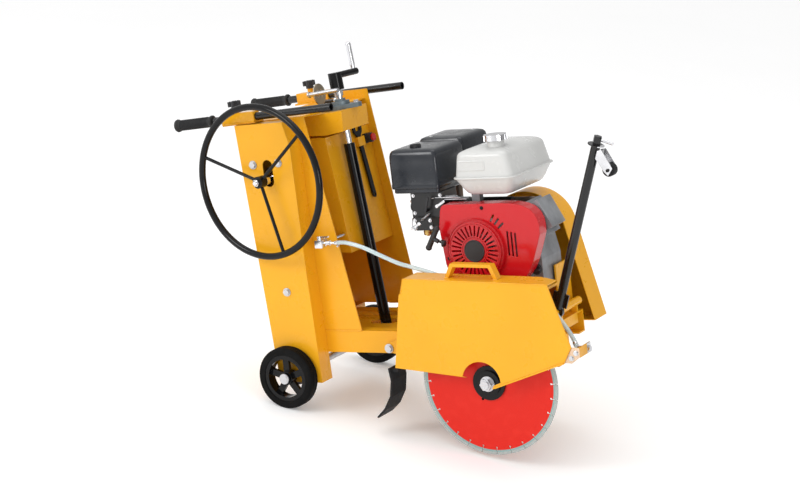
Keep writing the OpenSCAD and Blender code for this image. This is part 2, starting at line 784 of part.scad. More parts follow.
// The hose is one tube swept along the route, a ring of points at each station
function hose_ahead(i) = hose_route[min(i + 1, len(hose_route) - 1)] - hose_route[max(i - 1, 0)];
function hose_across(i) = cross(hose_ahead(i), [0, 0, 1]) / norm(cross(hose_ahead(i), [0, 0, 1]));
function hose_above(i) = cross(hose_across(i), hose_ahead(i)) / norm(hose_ahead(i));
function hose_point(i, a) = hose_route[i] + hose_d / 2 * (hose_across(i) * cos(a) + hose_above(i) * sin(a));

module water_hose() color([0.75, 0.85, 0.86]) place() {
    sides = 10;
    n = len(hose_route);
    points = [for (i = [0:n - 1]) for (k = [0:sides - 1]) hose_point(i, k * 360 / sides)];
    walls = [for (i = [0:n - 2]) for (k = [0:sides - 1])
        [i * sides + k, i * sides + (k + 1) % sides, (i + 1) * sides + (k + 1) % sides, (i + 1) * sides + k]];
    first = [for (k = [0:sides - 1]) sides - 1 - k];
    last = [for (k = [0:sides - 1]) (n - 1) * sides + k];
    polyhedron(points, concat([first], walls, [last]), convexity = 10);
}

module filler_cap() color(black) place() translate([filler_x, 120, 0]) {
    translate([0, 0, 823.4]) cylinder(r = 27, h = 9);
    translate([0, 0, 786]) cylinder(r = 21.9, h = 38);
}

// ---- handles ----

module handle(side) {
    on_handle(side) {
        translate([60, 0, 0]) rotate([0, 90, 0]) difference() {
            cylinder(r = handle_d / 2, h = handle_len - 60);
            translate([0, 0, -1]) cylinder(r = handle_d / 2 - 2.5, h = handle_len);
        }
        rotate([0, 90, 0]) rotate_extrude() polygon([[0, 0], [19, 0], [21, 4], [20, 9], [16.5, 14], [16.5, 132],
            [20, 138], [20, 143], [16.5, 146], [handle_d / 2, 146], [handle_d / 2, 60], [0, 60]]);
    }
}

module near_handle() color(black) place() handle(-1);

module far_handle() color(black) place() handle(1);

module star_knob(side) {
    on_handle(side) translate([knob_at, 0, 0]) {
        translate([0, 0, handle_d / 2 + 0.4]) cylinder(r = 6, h = 26);
        translate([0, 0, 30.4]) cylinder(r = 13, h = 12);
        translate([0, 0, 40]) linear_extrude(16) {
            circle(r = 15);
            for (i = [0:4]) rotate(i * 72) translate([15, 0]) circle(r = 7.5, $fn = 32);
        }
    }
}

module near_knob() color(black) place() star_knob(-1);

module far_knob() color(black) place() star_knob(1);

// ---- guide pole ----

module guide_pole() color(black) place() on_pole() {
    difference() {
        union() {
            translate([0, 7, 0]) rotate([90, 0, 0]) cylinder(r = 20, h = 14);
            translate([0, 0, 12]) cylinder(r = pole_r, h = pole_len - 30);
            translate([-26, -3, 18]) cube([52, 6, 44]);
        }
        translate([0, 10, 0]) rotate([90, 0, 0]) cylinder(r = 8 + run_gap, h = 20);
    }
    translate([0, 0, pole_len - 18]) cylinder(r = 26, h = 3);
    translate([0, 0, pole_len - 15]) cylinder(r = 13, h = 26, $fn = 6);
    translate([0, 0, pole_len + 2]) rotate([0, 90, 0]) cylinder(r = 5, h = 52);
    for (s = [-1, 1]) difference() {
        translate([0, s * 16 - 2, 0]) rotate([90, 0, 0]) mirror([0, 0, 1]) linear_extrude(4)
            polygon([[12, pole_len - 30], [26, pole_len - 22], [74, pole_len - 66], [66, pole_len - 92],
                [50, pole_len - 84], [12, pole_len - 52]]);
        translate([61, 20, pole_len - 76]) rotate([90, 0, 0]) cylinder(r = 5 + run_gap, h = 40);
    }
}

module guide_roller() color(rubber) place() on_pole() translate([61, 0, pole_len - 76]) rotate([90, 0, 0]) {
    cylinder(r = 20, h = 24, center = true);
    cylinder(r = 5, h = 44, center = true);
}

// ---- engine ----

module crankcase() color(castgrey) place() {
    // lower case, hollow, on four feet
    difference() {
        union() {
            block([540, -60, bed_z], [790, 112, 430]);
            rod_y(crank_x, crank_z, 46, 108, 120);
        }
        block([552, -48, bed_z + 10], [778, 100, 420]);
        rod_y(crank_x, crank_z, 12.7 + run_gap, 90, 130);
    }
    block([600, -40, 428], [628, -16, 541]);
    side_plate([[788, bed_z], [826, bed_z], [826, 330], [812, 396], [788, 422]], -50, 85);
    // cylinder barrel with its fins, leaning forward
    translate([700, -5, 395]) rotate([0, 62, 0]) {
        difference() {
            cylinder(r = 46, h = 165);
            translate([0, 0, 8]) cylinder(r = 38, h = 150);
        }
        for (i = [0:8]) translate([-60, -52, 48 + i * 11]) cube([120, 104, 4.5]);
        translate([-48, -48, 146]) cube([96, 96, 26]);
    }
}

shroud_side = concat([[513, 446], [524, 330], [536, 292], [560, 262], [600, 250], [745, 258], [780, 274],
    [806, 300], [826, 336], [842, 378],
    [857, 420], [858, 444]], [[855, 464], [846, 484], [830, 501], [806, 512], [772, 518], [730, 520],
    [536, 518], [527, 512], [522, 500]]);
shroud_cut = [[520, 443], [530, 334], [542, 297], [565, 268], [602, 256], [742, 264], [776, 280], [800, 304],
    [820, 340], [835, 380], [850, 420], [851, 443], [848, 461], [840, 479], [826, 495], [803, 506], [771, 511],
    [730, 513], [540, 511], [533, 507], [529, 499]];

module fan_shroud() color(red) place() {
    difference() {
        side_plate(shroud_side, -112, -62);
        side_plate(shroud_cut, -107, -60);
        rod_y(crank_x, crank_z, 60, -114, -100);
        for (i = [0:2]) block([744 + i * 13, -114, 356 - i * 2], [750 + i * 13, -104, 432 - i * 3]);
        for (i = [0:2]) translate([crank_x, -114, crank_z]) rotate([0, -40 - i * 9, 0])
            translate([103, 0, -3]) cube([26, 10, 6]);
    }
}

module recoil_cover() place() {
    color(red) difference() {
        union() {
            rod_y(crank_x, crank_z, 98, -124, -112);
            rod_y(crank_x, crank_z, 90, recoil_y, -124);
        }
        rod_y(crank_x, crank_z, 92, -121, -111);
        for (i = [0:29]) translate([crank_x, recoil_y + 4, crank_z]) rotate([0, i * 12, 0])
            translate([46, -6, -2.8]) cube([34, 12, 5.6]);
    }
    color(black) rod_y(crank_x, crank_z, 35, recoil_y - 2, recoil_y);
}

module recoil_grip() color(black) place() {
    translate([507, -150, 421]) rotate([0, 30, 0]) {
        translate([0, 0, -34]) cylinder(r = 9, h = 68);
        for (s = [-1, 1]) translate([0, 0, s * 34]) sphere(r = 10);
        rotate([0, 90, 0]) cylinder(r = 7, h = 22);
    }
    translate([526, -148, 408]) rotate([0, 68, 0]) cylinder(r = 2.5, h = 16);
}

module fuel_tank() color([0.93, 0.93, 0.91]) place() {
    difference() {
        union() {
            hull() {
                block([576, -104, 600], [778, 196, 603]);
                block([586, -98, 668], [759, 190, 672]);
                block([616, -66, 687], [730, 158, 690]);
            }
            hull() {
                block([576, -104, 592], [778, 196, 594]);
                block([610, -78, 541], [752, 166, 544]);
            }
            block([570, -110, 594], [785, 202, 600]);
        }
        hull() {
            block([582, -98, 593], [772, 190, 601]);
            block([592, -92, 661], [753, 184, 665]);
        }
        hull() {
            block([582, -98, 592], [772, 190, 596]);
            block([616, -72, 547], [746, 160, 550]);
        }
        block([600, -108, 622], [690, -97, 650]);
        translate([cap_x, cap_y, 655]) cylinder(r = 20, h = 60);
    }
    difference() {
        translate([cap_x, cap_y, 662]) cylinder(r = 26, h = 42);
        translate([cap_x, cap_y, 661]) cylinder(r = 20, h = 50);
    }
}

module fuel_cap() color(steel) place() translate([cap_x, cap_y, 0]) {
    translate([0, 0, 704.4]) cylinder(r = 36, h = 18);
    translate([0, 0, 688]) cylinder(r = 19.9, h = 17);
    for (i = [0:7]) rotate([0, 0, i * 45]) translate([33, -4, 704.4]) cube([6, 8, 16]);
}

module air_cleaner() color([0.16, 0.16, 0.18]) place() {
    difference() {
        hull() {
            for (x = [357, 499]) for (y = [-78, 88]) translate([x, y, 566]) cylinder(r = 12, h = 112, $fn = 32);
            for (x = [363, 493]) for (y = [-70, 80]) translate([x, y, 676]) cylinder(r = 12, h = 12, $fn = 32);
        }
        block([357, -78, 560], [499, 88, 674]);
    }
    hull() {
        for (x = [361, 495]) for (y = [-72, 84]) translate([x, y, 551]) cylinder(r = 11, h = 15, $fn = 32);
    }
    translate([428, 5, 686]) cylinder(r = 15, h = 10);
}

module carburettor() place() {
    color(black) block([395, -62, 470], [510, 30, 551]);
    color(black) rod_x(490, 715, 12, 500, 18);
    color(black) block([410, -74, 430], [470, -20, 472]);
    color(black) rod_x(380, 396, -30, 500, 14);
    color([0.72, 0.58, 0.30]) translate([436, -48, 412]) cylinder(r = 13, h = 20);
}

module throttle_lever() color(black) place() {
    rod_y(452, 494, 5, -84, -62.4);
    side_plate([[448, 490], [456, 490], [470, 536], [462, 538]], -84, -80);
}

// Silencer in its black guard behind the air cleaner, fed by a pipe from the cylinder
module muffler() place() {
    color(black) difference() {
        hull() {
            for (x = [363, 494]) for (y = [116, 278]) translate([x, y, 568]) cylinder(r = 11, h = 118, $fn = 32);
            for (x = [369, 488]) for (y = [122, 272]) translate([x, y, 684]) cylinder(r = 11, h = 12, $fn = 32);
        }
        block([358, 111, 574], [499, 283, 682]);
        rod_y(400, 610, 14, 280, 292);
    }
    color(steel) ring_y(400, 610, 17, 14, 289, 312);
    color(steel) translate([470, 122, 490]) cylinder(r = 13, h = 79);
    color(steel) rod_y(470, 490, 13, 88, 122);
    color(steel) rod_x(470, 788, 88, 490, 13);
    color(steel) rod_y(775, 490, 13, 47, 88);
}

// ---- small parts ----

module stop_switch() color(black) place() on_face() translate([0, 156, -42]) {
    difference() {
        union() {
            translate([0.2, -16, -16]) cube([12, 32, 32]);
            translate([12, 0, 0]) rotate([0, 90, 0]) cylinder(r = 16, h = 14);
        }
        translate([8, 0, 0]) rotate([0, 90, 0]) cylinder(r = 9.5, h = 20);
    }
}

module stop_button() color([0.80, 0.08, 0.08]) place() on_face() translate([0, 156, -42]) rotate([0, 90, 0]) {
    translate([0, 0, 14]) cylinder(r = 9, h = 16);
    translate([0, 0, 29]) cylinder(r = 12, h = 6);
}

// The blade spanner hangs in the tank's strap, its open jaws up
module spanner() color(black) place() on_face() translate([4.5, 106, -1]) rotate([4, 0, 0]) {
    t = 5;
    difference() {
        union() {
            rotate([0, 90, 0]) cylinder(r = 27, h = t);
            translate([0, -10, -225]) cube([t, 20, 205]);
            translate([0, 0, -225]) rotate([0, 90, 0]) cylinder(r = 10, h = t);
        }
        translate([-1, -13, -9]) cube([t + 2, 26, 60]);
        translate([-1, -40, 6]) cube([t + 2, 80, 40]);
        translate([-1, 0, -225]) rotate([0, 90, 0]) cylinder(r = 4.5, h = t + 2);
    }
}

module frame_bolts() color(steel) place() {
    for (p = [[-52, 686], [43, 690], [17, 273]])
        translate([p[0], -cover_y, p[1]]) rotate([90, 0, 0]) hex_bolt(11, 9);
    rod_y(hinge_x, hinge_z, 6, -212, rail_near);
    rod_y(hinge_x, hinge_z, 11, -199.6, rail_near);
    translate([hinge_x, -206, hinge_z]) rotate([90, 0, 0]) hex_bolt(12, 9);
    on_screw() for (s = [-1, 1]) translate([s * 58, 0, seat_t + (s < 0 ? 18 : 14)]) hex_bolt(9, 8);
    for (x = [522, 806]) for (y = [-80, 100]) translate([x, y, bed_z]) hex_bolt(9, 7);
    translate([838, 50, 228]) rotate([0, 90, 0]) hex_bolt(9, 8);
}

chassis_frame();
engine_bed();
rear_column();
water_tank();
chain_cover();
top_console();
screw_bearing();
lock_disc();
pillow_blocks();
hand_bearing();
drive_chain();
belt_cover();
drive_belts();
crankcase();
fan_shroud();
recoil_cover();
fuel_tank();
air_cleaner();
carburettor();
muffler();
water_cock();
water_hose();
blade_guard();
guard_handle();
spray_block();
mud_flap();
frame_bolts();
stop_switch();
blade();
blade_flanges();
arbor_nut();
arbor_shaft();
driven_pulley();
drive_pulley();
rear_axle();
rear_rims();
rear_tyres();
hand_shaft();
handwheel();
depth_arm();
front_rims();
front_tyres();
depth_tube();
lead_screw();
crank_arm();
crank_grip();
lock_pin();
near_handle();
far_handle();
near_knob();
far_knob();
guide_pole();
guide_roller();
cock_lever();
stop_button();
spanner();
recoil_grip();
fuel_cap();
filler_cap();
throttle_lever();
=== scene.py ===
"""Looks of the walk-behind concrete saw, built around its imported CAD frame."""

import math
import random

import bmesh
import bpy
from mathutils import Matrix, Vector


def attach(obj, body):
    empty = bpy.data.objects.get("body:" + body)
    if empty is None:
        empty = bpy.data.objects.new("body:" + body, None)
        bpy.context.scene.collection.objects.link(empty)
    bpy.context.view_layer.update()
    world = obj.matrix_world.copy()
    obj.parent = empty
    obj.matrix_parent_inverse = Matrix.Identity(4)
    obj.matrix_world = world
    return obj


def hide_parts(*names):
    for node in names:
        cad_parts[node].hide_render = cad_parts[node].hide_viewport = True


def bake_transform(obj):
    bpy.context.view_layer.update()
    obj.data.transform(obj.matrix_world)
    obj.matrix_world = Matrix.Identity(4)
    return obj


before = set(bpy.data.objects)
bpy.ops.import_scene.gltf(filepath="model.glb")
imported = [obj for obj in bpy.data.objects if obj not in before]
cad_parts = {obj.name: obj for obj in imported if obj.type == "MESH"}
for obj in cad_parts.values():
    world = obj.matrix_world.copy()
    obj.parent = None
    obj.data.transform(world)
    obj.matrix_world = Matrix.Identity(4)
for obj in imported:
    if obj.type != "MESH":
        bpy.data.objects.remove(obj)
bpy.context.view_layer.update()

# ---- the design's own frames, in millimetres, as matrices into the row frame ----

REAR_WHEEL_R = 100
PITCH = math.radians(12.5)


def moved(x, y, z):
    return Matrix.Translation((x, y, z))


def turned(degrees, axis):
    return Matrix.Rotation(math.radians(degrees), 4, axis)


CHASSIS = Matrix.Scale(0.001, 4) @ moved(-242, 14.5, REAR_WHEEL_R) @ Matrix.Rotation(-PITCH, 4, "Y")
HANDLES = {s: CHASSIS @ moved(-345, s * 228, 817) @ turned(-3.7, "Y") for s in (-1, 1)}
POLE = CHASSIS @ moved(866, -60, 168) @ turned(19.5, "Y")
NEAR = turned(90, "X")   # turns a piece made up local Z so that it points to the machine's near side
FAR = turned(-90, "X")
FRONT = turned(90, "Y")


def at(x, y, z):
    """A point of the design's chassis frame, in the row frame."""
    return CHASSIS @ Vector((x, y, z))


# ---- camera ----

CAMERA_PLACE = (2.993, -5.755, 2.431)
CAMERA_RIGHT = Vector((0.8720, 0.4830, 0.0799))
CAMERA_AHEAD = Vector((-0.4448, 0.8497, -0.2831))
CAMERA_LENS = 95

camera_data = bpy.data.cameras.new("camera")
camera_data.lens = CAMERA_LENS
camera_data.sensor_width = 36
camera = bpy.data.objects.new("camera", camera_data)
bpy.context.scene.collection.objects.link(camera)
ahead = CAMERA_AHEAD.normalized()
right = (CAMERA_RIGHT - ahead * CAMERA_RIGHT.dot(ahead)).normalized()
camera.matrix_world = moved(*CAMERA_PLACE) @ Matrix((right, right.cross(ahead),
                                                     -ahead)).transposed().to_4x4()
bpy.context.scene.camera = camera

# ---- materials ----


class Graph:
    """A material's node tree, with short calls for the nodes that the finishes share."""

    def __init__(self, name):
        self.material = bpy.data.materials.new(name)
        self.material.use_nodes = True
        self.tree = self.material.node_tree
        self.tree.nodes.clear()
        self.bsdf = self.add("ShaderNodeBsdfPrincipled")
        out = self.add("ShaderNodeOutputMaterial")
        self.tree.links.new(self.bsdf.outputs[0], out.inputs["Surface"])
        self.place = self.add("ShaderNodeTexCoord").outputs["Object"]

    def add(self, kind, inputs=None, **settings):
        node = self.tree.nodes.new(kind)
        for key, value in settings.items():
            setattr(node, key, value)
        for key, value in (inputs or {}).items():
            if isinstance(value, bpy.types.NodeSocket):
                self.tree.links.new(value, node.inputs[key])
            else:
                node.inputs[key].default_value = value
        return node

    def noise(self, scale, detail=3.0, roughness=0.55, stretch=None):
        where = self.place
        if stretch:
            where = self.add("ShaderNodeMapping", {"Vector": where, "Scale": stretch}).outputs[0]
        return self.add("ShaderNodeTexNoise", {"Vector": where, "Scale": scale, "Detail": detail,
                                               "Roughness": roughness}).outputs["Fac"]

    def between(self, value, low, high, to_low=0.0, to_high=1.0):
        return self.add("ShaderNodeMapRange", {"Value": value, "From Min": low, "From Max": high,
                                               "To Min": to_low, "To Max": to_high}).outputs[0]

    def math(self, operation, a, b=0.0):
        return self.add("ShaderNodeMath", {0: a, 1: b}, operation=operation).outputs[0]

    def mix(self, factor, a, b):
        return self.add("ShaderNodeMix", {0: factor, 6: rgba(a), 7: rgba(b)}, data_type="RGBA").outputs[2]

    def along(self, matrix, axis):
        """Distance in millimetres along one axis of a design frame."""
        direction = (matrix.to_3x3() @ Vector(axis)).normalized()
        offset = self.add("ShaderNodeVectorMath", {0: self.place, 1: matrix.translation},
                          operation="SUBTRACT")
        dot = self.add("ShaderNodeVectorMath", {0: offset.outputs[0], 1: direction},
                       operation="DOT_PRODUCT")
        return self.math("MULTIPLY", dot.outputs["Value"], 1000.0)

    def radius(self, matrix):
        """Distance in millimetres from the local Z axis of a design frame."""
        x, y = self.along(matrix, (1, 0, 0)), self.along(matrix, (0, 1, 0))
        return self.math("SQRT", self.math("ADD", self.math("MULTIPLY", x, x), self.math("MULTIPLY", y, y)))

    def edges(self, width):
        """Rounded normals near sharp edges, and how near an edge each point is, from 0 to 1."""
        rounded = self.add("ShaderNodeBevel", {"Radius": width / 1000}, samples=4).outputs[0]
        flat = self.add("ShaderNodeNewGeometry").outputs["Normal"]
        dot = self.add("ShaderNodeVectorMath", {0: rounded, 1: flat},
                       operation="DOT_PRODUCT").outputs["Value"]
        return rounded, self.between(dot, 0.995, 0.90)

    def bump(self, height, strength, depth, normal=None):
        inputs = {"Height": height, "Strength": strength, "Distance": depth}
        if normal is not None:
            inputs["Normal"] = normal
        return self.add("ShaderNodeBump", inputs).outputs[0]

    def set(self, **sockets):
        for key, value in sockets.items():
            name = key.replace("_", " ")
            if isinstance(value, bpy.types.NodeSocket):
                self.tree.links.new(value, self.bsdf.inputs[name])
            else:
                self.bsdf.inputs[name].default_value = value


def rgba(colour):
    return colour if isinstance(colour, bpy.types.NodeSocket) else (*colour, 1.0)


def darker(colour, share):
    return tuple(c * share for c in colour)


def enamel(name, colour, worn, rough=0.3, edge=1.2, wear=0.35, dust=0.10, coat=0.08, specular=0.3):
    """Sprayed gloss paint: orange peel, faint unevenness, dulled patches and thin wear on its edges."""
    g = Graph(name)
    rounded, near_edge = g.edges(edge)
    patch = g.between(g.noise(3.2, 4), 0.35, 0.7)
    shade = g.mix(g.math("MULTIPLY", patch, 0.55), colour, darker(colour, 0.86))
    speck = g.between(g.noise(260, 2), 0.62, 0.8, 0.0, dust)
    shade = g.mix(speck, shade, darker(colour, 0.55))
    chips = g.math("MULTIPLY", near_edge, g.between(g.noise(46, 5, 0.7), 0.56, 0.68, 0.0, wear))
    g.set(Base_Color=g.mix(chips, shade, worn),
          Roughness=g.between(g.noise(14, 4), 0.3, 0.75, rough - 0.07, rough + 0.09),
          Normal=g.bump(g.noise(420, 1), 0.10, 0.0004, rounded), IOR=1.5)
    g.set(Coat_Weight=coat, Coat_Roughness=0.12, Specular_IOR_Level=specular)
    return g


def plastic(name, colour, rough=0.45, grain=700, edge=1.0):
    """Moulded plastic with a fine texture; its corners are painted slightly lighter, a painted highlight."""
    g = Graph(name)
    rounded, near_edge = g.edges(edge)
    tone = g.mix(g.between(g.noise(9, 3), 0.35, 0.7), colour, darker(colour, 0.72))
    # painted highlight: the colour is mixed towards a lighter tone along the edge mask
    g.set(Base_Color=g.mix(g.math("MULTIPLY", near_edge, 0.25), tone, tuple(c + 0.03 for c in colour)),
          Roughness=g.between(g.noise(30, 3), 0.3, 0.7, rough - 0.08, rough + 0.08),
          Normal=g.bump(g.noise(grain, 2), 0.25, 0.0004, rounded))
    return g


def rubber(name, colour, rough=0.7):
    """Soft black rubber: chalky bloom over a finely pitted skin."""
    g = Graph(name)
    rounded, _ = g.edges(1.0)
    bloom = g.between(g.noise(11, 5, 0.65), 0.45, 0.75, 0.0, 0.6)
    g.set(Base_Color=g.mix(bloom, colour, tuple(c * 1.6 + 0.003 for c in colour)),
          Roughness=g.between(g.noise(60, 3), 0.3, 0.7, rough - 0.1, rough + 0.08),
          Normal=g.bump(g.noise(900, 3), 0.35, 0.0004, rounded))
    g.set(Specular_IOR_Level=0.12)
    return g


def metal(name, colour, rough=0.25, brushed=None, edge=0.8, stain=0.3):
    """Bare or plated metal: machining marks along one direction, thumbed and stained roughness."""
    g = Graph(name)
    rounded, _ = g.edges(edge)
    marks = g.noise(180, 3, 0.6, brushed) if brushed else g.noise(90, 3)
    blotch = g.between(g.noise(22, 5), 0.45, 0.75, 0.0, stain)
    g.set(Base_Color=g.mix(blotch, colour, darker(colour, 0.6)), Metallic=1.0,
          Roughness=g.between(g.noise(35, 4), 0.3, 0.75, max(0.04, rough - 0.08), rough + 0.14),
          Normal=g.bump(marks, 0.18, 0.0003, rounded))
    return g


def casting(name, colour, rough=0.5, metallic=0.75, grain=0.5):
    """Sand or die cast metal with a grainy skin; its edges are painted lighter, a painted highlight, so
    flats and hollows read darker.
    """
    g = Graph(name)
    rounded, near_edge = g.edges(1.6)
    tone = g.mix(g.between(g.noise(16, 5), 0.35, 0.7), colour, darker(colour, 0.62))
    # painted highlight: the colour is mixed towards a lighter tone along the edge mask
    g.set(Base_Color=g.mix(g.math("MULTIPLY", near_edge, 0.4), tone,
                           tuple(min(1, c * 1.25) for c in colour)),
          Metallic=metallic, Roughness=g.between(g.noise(40, 3), 0.3, 0.7, rough - 0.1, rough + 0.12),
          Normal=g.bump(g.noise(520, 4, 0.7), grain, 0.0007, rounded))
    return g


YELLOW = (0.80, 0.375, 0.010)
BLACK = (0.0035, 0.0035, 0.004)
PRIMER = (0.20, 0.13, 0.07)
RUBBER = (0.0025, 0.0025, 0.0025)
BRIGHT = (0.60, 0.60, 0.62)
NICKEL = (0.72, 0.72, 0.74)

yellow = enamel("yellow_enamel", YELLOW, PRIMER).material
black_gloss = enamel("black_enamel", BLACK, (0.12, 0.12, 0.13), rough=0.16, dust=0.02, wear=0.35, coat=0.0,
                     specular=0.24).material
black_plastic = plastic("black_plastic", (0.016, 0.016, 0.018)).material
zinc = metal("zinc_steel", BRIGHT, 0.3, (1, 1, 6)).material
chrome = metal("chrome", NICKEL, 0.12, None, stain=0.12).material
cast_alloy = casting("cast_alloy", (0.40, 0.41, 0.43)).material
bearing_grey = casting("bearing_grey", (0.17, 0.21, 0.23), 0.42, 0.55).material
bronze = casting("tarnished_bronze", (0.50, 0.42, 0.30), 0.36, 0.85, 0.3).material
tyre_rubber = rubber("tyre_rubber", RUBBER).material
soft_rubber = rubber("soft_rubber", (0.018, 0.018, 0.019), 0.62).material
shroud_red = enamel("shroud_red", (0.56, 0.005, 0.010), (0.10, 0.02, 0.02), rough=0.22, wear=0.1,
                    coat=0.3, edge=5).material
tank_white = enamel("tank_white", (0.60, 0.60, 0.585), (0.45, 0.45, 0.45), rough=0.25, wear=0.1, dust=0.03,
                    coat=0.3).material
filter_black = plastic("filter_black", (0.013, 0.016, 0.022), 0.20, 500, 2).material
button_red = plastic("button_red", (0.55, 0.012, 0.010), 0.3).material
oiled_steel = metal("oiled_steel", (0.13, 0.12, 0.11), 0.35, stain=0.6).material
heat_steel = metal("heat_dulled_steel", (0.26, 0.22, 0.19), 0.45, stain=0.7).material
brass = metal("brass_yellow", (0.62, 0.42, 0.14), 0.25).material


def hose_plastic():
    """Clear soft tube, milky in patches."""
    g = Graph("hose_clear")
    milky = g.between(g.noise(40, 4), 0.35, 0.7)
    g.set(Base_Color=g.mix(milky, (0.62, 0.78, 0.80), (0.80, 0.90, 0.91)),
          Roughness=g.between(g.noise(70, 3), 0.3, 0.7, 0.14, 0.26),
          Normal=g.bump(g.noise(160, 2), 0.15, 0.0004))
    g.set(Transmission_Weight=0.35, IOR=1.42, Coat_Weight=0.4)
    return g.material


def two_finish(name, first, second, chooser):
    """One solid that carries two finishes: chooser(graph) says how much of the second shows, from 0 to 1."""
    g = Graph(name)
    share = chooser(g)
    rounded, near_edge = g.edges(1.0)
    rough = g.noise(24, 4)
    tone_a = g.mix(g.between(g.noise(12, 4), 0.35, 0.7), first[0], darker(first[0], 0.75))
    tone_b = g.mix(g.between(g.noise(15, 4), 0.35, 0.7), second[0], darker(second[0], 0.75))
    rough_a = g.between(rough, 0.3, 0.7, first[1] - 0.06, first[1] + 0.1)
    rough_b = g.between(rough, 0.3, 0.7, second[1] - 0.06, second[1] + 0.1)
    blend = g.add("ShaderNodeMix", {0: share, 2: rough_a, 3: rough_b}).outputs[0]
    g.set(Base_Color=g.mix(share, tone_a, tone_b), Roughness=blend,
          Metallic=g.between(share, 0, 1, first[2], second[2]),
          Normal=g.bump(g.noise(480, 3), 0.25, 0.0004, rounded))
    return g.material


BLADE_AXIS = CHASSIS @ moved(707, -250, -10) @ NEAR
CRANK_AXIS = CHASSIS @ moved(638, -130, 375) @ NEAR
BLADE_CORE_R = 219.5


def blade_steel():
    """Red lacquered core with turned marks, a thin bare band, and sintered segments."""
    g = Graph("blade_lacquer")
    r = g.radius(BLADE_AXIS)
    rounded, _ = g.edges(0.6)
    rings = g.add("ShaderNodeTexNoise",
                  {"Vector": g.add("ShaderNodeCombineXYZ", {0: g.math("MULTIPLY", r, 0.9)}
                                                         ).outputs[0], "Scale": 1.0,
                   "Detail": 4.0}).outputs["Fac"]
    red = g.mix(g.between(rings, 0.35, 0.7), (0.68, 0.020, 0.010), (0.54, 0.012, 0.006))
    red = g.mix(g.between(g.noise(30, 5), 0.5, 0.8, 0.0, 0.35), red, (0.74, 0.040, 0.022))
    band = g.between(r, BLADE_CORE_R - 6, BLADE_CORE_R - 5)
    teal = g.mix(g.noise(60, 3), (0.16, 0.30, 0.29), (0.30, 0.44, 0.42))
    segment = g.between(r, BLADE_CORE_R - 0.6, BLADE_CORE_R)
    grit = g.mix(g.between(g.noise(700, 2), 0.4, 0.65), (0.30, 0.34, 0.33), (0.52, 0.56, 0.54))
    colour = g.mix(segment, g.mix(band, red, teal), grit)
    g.set(Base_Color=colour, Metallic=g.between(segment, 0, 1, 0.1, 0.6),
          Roughness=g.between(segment, 0, 1, 0.28, 0.6),
          Normal=g.bump(g.math("ADD", g.noise(600, 3), g.math("MULTIPLY", rings, 0.6)), 0.3, 0.0004,
                        rounded))
    g.set(Coat_Weight=0.03, Specular_IOR_Level=0.2)
    return g.material


def handle_finish(side):
    """Rubber grip on a painted tube: the grip covers the rear end."""
    return two_finish("handle_finish_" + ("near" if side < 0 else "far"), (RUBBER, 0.6, 0.0),
                      (BLACK, 0.24, 0.0),
                      lambda g: g.between(g.along(HANDLES[side], (1, 0, 0)), 146, 146.4))


MATERIALS = {
    "chassis_frame": yellow, "engine_bed": yellow, "rear_column": yellow, "water_tank": yellow,
    "chain_cover": yellow, "top_console": yellow, "belt_cover": yellow, "blade_guard": yellow,
    "guard_handle": yellow, "screw_bearing": bearing_grey, "pillow_blocks": bearing_grey,
    "hand_bearing": bearing_grey, "lock_disc": bronze, "drive_chain": oiled_steel,
             "drive_belts": soft_rubber,
    "crankcase": cast_alloy, "fan_shroud": shroud_red,
    "water_cock": chrome, "mud_flap": soft_rubber, "frame_bolts": zinc,
    "stop_switch": black_plastic, "blade": blade_steel(), "blade_flanges": black_gloss, "arbor_nut": zinc,
    "arbor_shaft": zinc, "driven_pulley": cast_alloy, "drive_pulley": cast_alloy, "rear_axle": zinc,
    "rear_rims": black_gloss, "rear_tyres": tyre_rubber, "hand_shaft": chrome, "handwheel": black_gloss,
    "depth_arm": black_gloss, "front_rims": black_gloss, "front_tyres": tyre_rubber,
             "depth_tube": black_gloss,
    "lead_screw": chrome, "crank_grip": chrome, "crank_arm": black_gloss, "lock_pin": zinc,
    "near_handle": handle_finish(-1), "far_handle": handle_finish(1), "near_knob": black_plastic,
    "far_knob": black_plastic, "guide_roller": soft_rubber, "cock_lever": chrome, "stop_button": button_red,
    "spanner": black_gloss, "recoil_grip": black_plastic, "fuel_cap": chrome, "filler_cap": black_plastic,
    "throttle_lever": black_plastic,
    "guide_pole": two_finish("pole_finish", (BLACK, 0.18, 0.0), (NICKEL, 0.2, 1.0),
                             lambda g: g.math("MULTIPLY", g.between(g.along(POLE, (0, 0, 1)), 440, 441),
                                              g.between(g.along(POLE, (1, 0, 0)), 14, 14.5))),
    "recoil_cover": two_finish("recoil_finish", ((0.60, 0.006, 0.012), 0.2, 0.0), (BLACK, 0.35, 0.0),
                               lambda g: g.between(g.along(CRANK_AXIS, (0, 0, 1)), 0.1, 0.3)),
    "spray_block": two_finish("spray_finish", (YELLOW, 0.3, 0.0), (NICKEL, 0.15, 1.0),
                              lambda g: g.math("ADD", g.between(g.along(CHASSIS, (0, 1, 0)), -242, -241.5),
                                               g.between(g.along(CHASSIS, (0, 1, 0)), -296.8, -297.2))),
    "carburettor": two_finish("carburettor_finish", ((0.010, 0.010, 0.011), 0.35, 0.0),
                              ((0.62, 0.42, 0.14), 0.3, 1.0),
                              lambda g: g.between(g.along(CHASSIS, (0, 0, 1)), 430, 429)),
}
for node_name, finish in MATERIALS.items():
    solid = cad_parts[node_name]
    solid.data.materials.clear()
    solid.data.materials.append(finish)
    for face in solid.data.polygons:
        face.material_index = 0

# ---- piece builders ----

SMOOTH_BELOW = math.radians(38)


